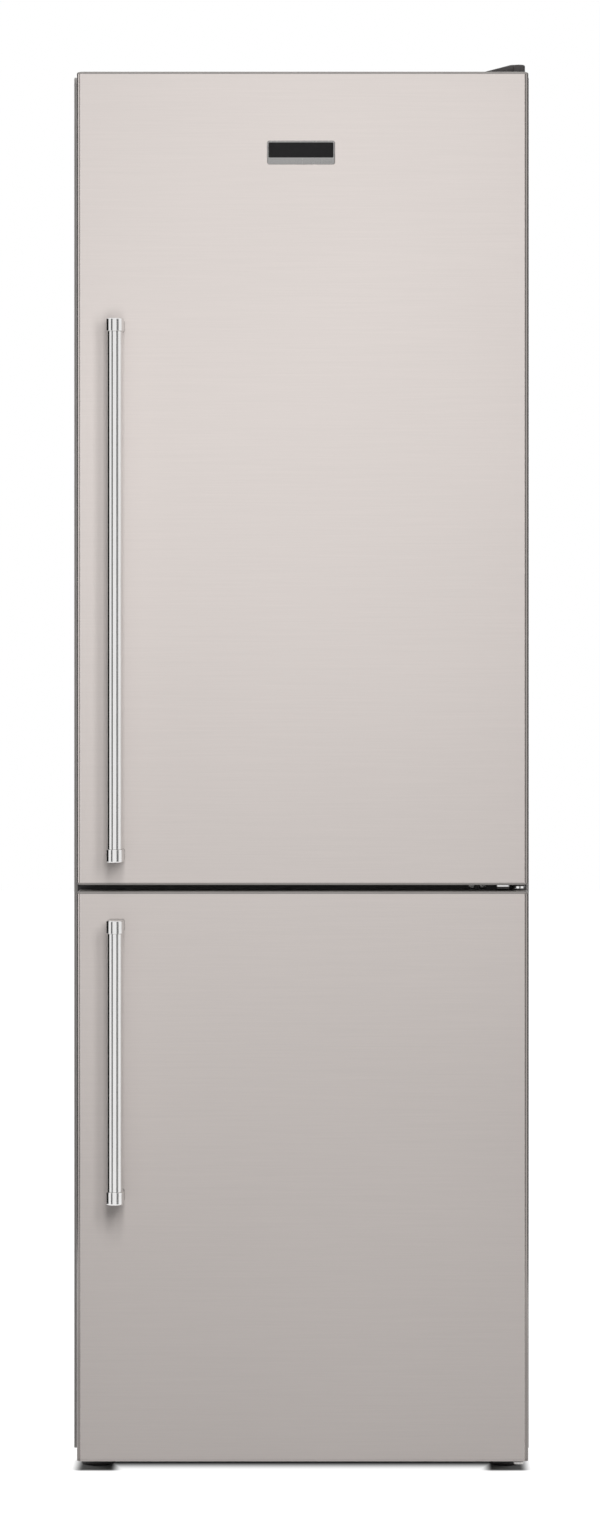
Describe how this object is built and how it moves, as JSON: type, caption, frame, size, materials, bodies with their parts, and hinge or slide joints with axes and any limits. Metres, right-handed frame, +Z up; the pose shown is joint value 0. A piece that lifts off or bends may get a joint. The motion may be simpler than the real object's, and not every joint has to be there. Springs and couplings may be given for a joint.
{
  "type": "refrigerator",
  "caption": "Free-standing upright fridge-freezer: fridge above, freezer below, right-hinged doors with upright bar handles, drawers, shelves and rear condenser.",
  "frame": {"origin": "on the floor, below the centre of the whole object's box", "axes": "+Z up, the doors face -Y, +X to the viewer's right"},
  "size_m": [0.6, 0.71, 1.85],
  "materials": {
    "door_finish": "satin",
    "cabinet_paint": "satin",
    "zinc_steel": "satin",
    "dark_plastic": "matte",
    "cap_plastic": "satin",
    "liner_plastic": "satin",
    "foam": "matte",
    "gasket_rubber": "matte",
    "handle_metal": "polished",
    "plate_metal": "polished",
    "plate_inset": "gloss",
    "shelf_glass": "gloss",
    "trim_plastic": "satin",
    "clear_plastic": "gloss",
    "hinge_steel": "satin",
    "black_enamel": "gloss",
    "copper": "satin",
    "bare_aluminium": "satin",
    "grommet_rubber": "matte",
    "roller_nylon": "matte",
    "white_plastic": "satin"
  },
  "bodies": {
    "cabinet": {"air_duct": "white_plastic", "back_panel": "zinc_steel", "base_pan": "zinc_steel", "bottom_hinge": "hinge_steel", "compressor": "black_enamel", "compressor_grommets": "grommet_rubber", "compressor_plate": "zinc_steel", "condenser_clips": "dark_plastic", "condenser_tube": "black_enamel", "condenser_wires": "black_enamel", "drier_filter": "copper", "drip_tray": "dark_plastic", "electrical_box": "dark_plastic", "evaporator": "bare_aluminium", "fan_motor": "dark_plastic", "freezer_liner": "liner_plastic", "freezer_rear_cover": "white_plastic", "fridge_liner": "liner_plastic", "glass_shelves": "shelf_glass", "hinge_cover": "dark_plastic", "hinge_screws": "hinge_steel", "insulation_foam": "foam", "light_housing": "white_plastic", "light_lens": "clear_plastic", "middle_hinge": "hinge_steel", "mullion_rail": "cabinet_paint", "refrigerant_pipes": "copper", "roller_axles": "hinge_steel", "shelf_trims": "trim_plastic", "side_panel_left": "cabinet_paint", "side_panel_right": "cabinet_paint", "top_hinge": "hinge_steel", "top_panel": "cabinet_paint"},
    "fridge_door": {"fridge_door_skin": "door_finish", "fridge_door_liner": "liner_plastic", "fridge_door_gasket": "gasket_rubber", "fridge_door_foam": "foam", "fridge_door_end_caps": "cap_plastic", "fridge_handle": "handle_metal", "badge_frame": "plate_metal", "badge_inset": "plate_inset", "door_balconies": "clear_plastic", "bottle_balcony": "clear_plastic"},
    "freezer_door": {"freezer_door_skin": "door_finish", "freezer_door_liner": "liner_plastic", "freezer_door_gasket": "gasket_rubber", "freezer_door_foam": "foam", "freezer_door_end_caps": "cap_plastic", "freezer_handle": "handle_metal"},
    "crisper": {"crisper_drawer": "clear_plastic"},
    "lower_drawer": {"freezer_drawer_lower": "clear_plastic"},
    "middle_drawer": {"freezer_drawer_middle": "clear_plastic"},
    "upper_drawer": {"freezer_drawer_upper": "clear_plastic"},
    "knob": {"thermostat_knob": "white_plastic"},
    "switch_plunger": {"door_switch": "white_plastic"},
    "fan": {"fan_rotor": "white_plastic"},
    "left_roller": {"roller_left": "roller_nylon"},
    "right_roller": {"roller_right": "roller_nylon"},
    "left_foot": {"foot_left": "dark_plastic"},
    "right_foot": {"foot_right": "dark_plastic"}
  },
  "joints": [
    {"name": "fridge_door_hinge", "type": "hinge", "parent": "cabinet", "child": "fridge_door", "pos_m": [0.2853, -0.27, 1.304], "axis": [0, 0, 1], "range_deg": [0, 130]},
    {"name": "freezer_door_hinge", "type": "hinge", "parent": "cabinet", "child": "freezer_door", "pos_m": [0.2853, -0.27, 0.39], "axis": [0, 0, 1], "range_deg": [0, 130]},
    {"name": "crisper_slide", "type": "slide", "parent": "cabinet", "child": "crisper", "axis": [0, -1, 0], "range_m": [0, 0.25]},
    {"name": "lower_drawer_slide", "type": "slide", "parent": "cabinet", "child": "lower_drawer", "axis": [0, -1, 0], "range_m": [0, 0.216]},
    {"name": "middle_drawer_slide", "type": "slide", "parent": "cabinet", "child": "middle_drawer", "axis": [0, -1, 0], "range_m": [0, 0.216]},
    {"name": "upper_drawer_slide", "type": "slide", "parent": "cabinet", "child": "upper_drawer", "axis": [0, -1, 0], "range_m": [0, 0.216]},
    {"name": "door_switch_travel", "type": "slide", "parent": "cabinet", "child": "switch_plunger", "axis": [0, -1, 0], "range_m": [0, 0.006]},
    {"name": "thermostat_turn", "type": "hinge", "parent": "cabinet", "child": "knob", "pos_m": [0.07, -0.076, 1.761], "axis": [0, -1, 0], "range_deg": [0, 270]},
    {"name": "fan_spin", "type": "hinge", "parent": "cabinet", "child": "fan", "pos_m": [0, 0.2125, 0.65925], "axis": [0, 1, 0], "continuous": true},
    {"name": "left_roller_spin", "type": "hinge", "parent": "cabinet", "child": "left_roller", "pos_m": [-0.26, 0.287, 0.014], "axis": [1, 0, 0], "continuous": true},
    {"name": "right_roller_spin", "type": "hinge", "parent": "cabinet", "child": "right_roller", "pos_m": [0.26, 0.287, 0.014], "axis": [1, 0, 0], "continuous": true},
    {"name": "left_foot_screw", "type": "slide", "parent": "cabinet", "child": "left_foot", "axis": [0, 0, -1], "range_m": [0, 0.012]},
    {"name": "right_foot_screw", "type": "slide", "parent": "cabinet", "child": "right_foot", "axis": [0, 0, -1], "range_m": [0, 0.012]}
  ],
  "couplings": [
    {"joint": "crisper_slide", "follows": "fridge_door_hinge", "m_per_rad": 0.11},
    {"joint": "door_switch_travel", "follows": "fridge_door_hinge", "m_per_rad": 0.00264},
    {"joint": "lower_drawer_slide", "follows": "freezer_door_hinge", "m_per_rad": 0.095},
    {"joint": "middle_drawer_slide", "follows": "freezer_door_hinge", "m_per_rad": 0.095},
    {"joint": "upper_drawer_slide", "follows": "freezer_door_hinge", "m_per_rad": 0.095}
  ]
}
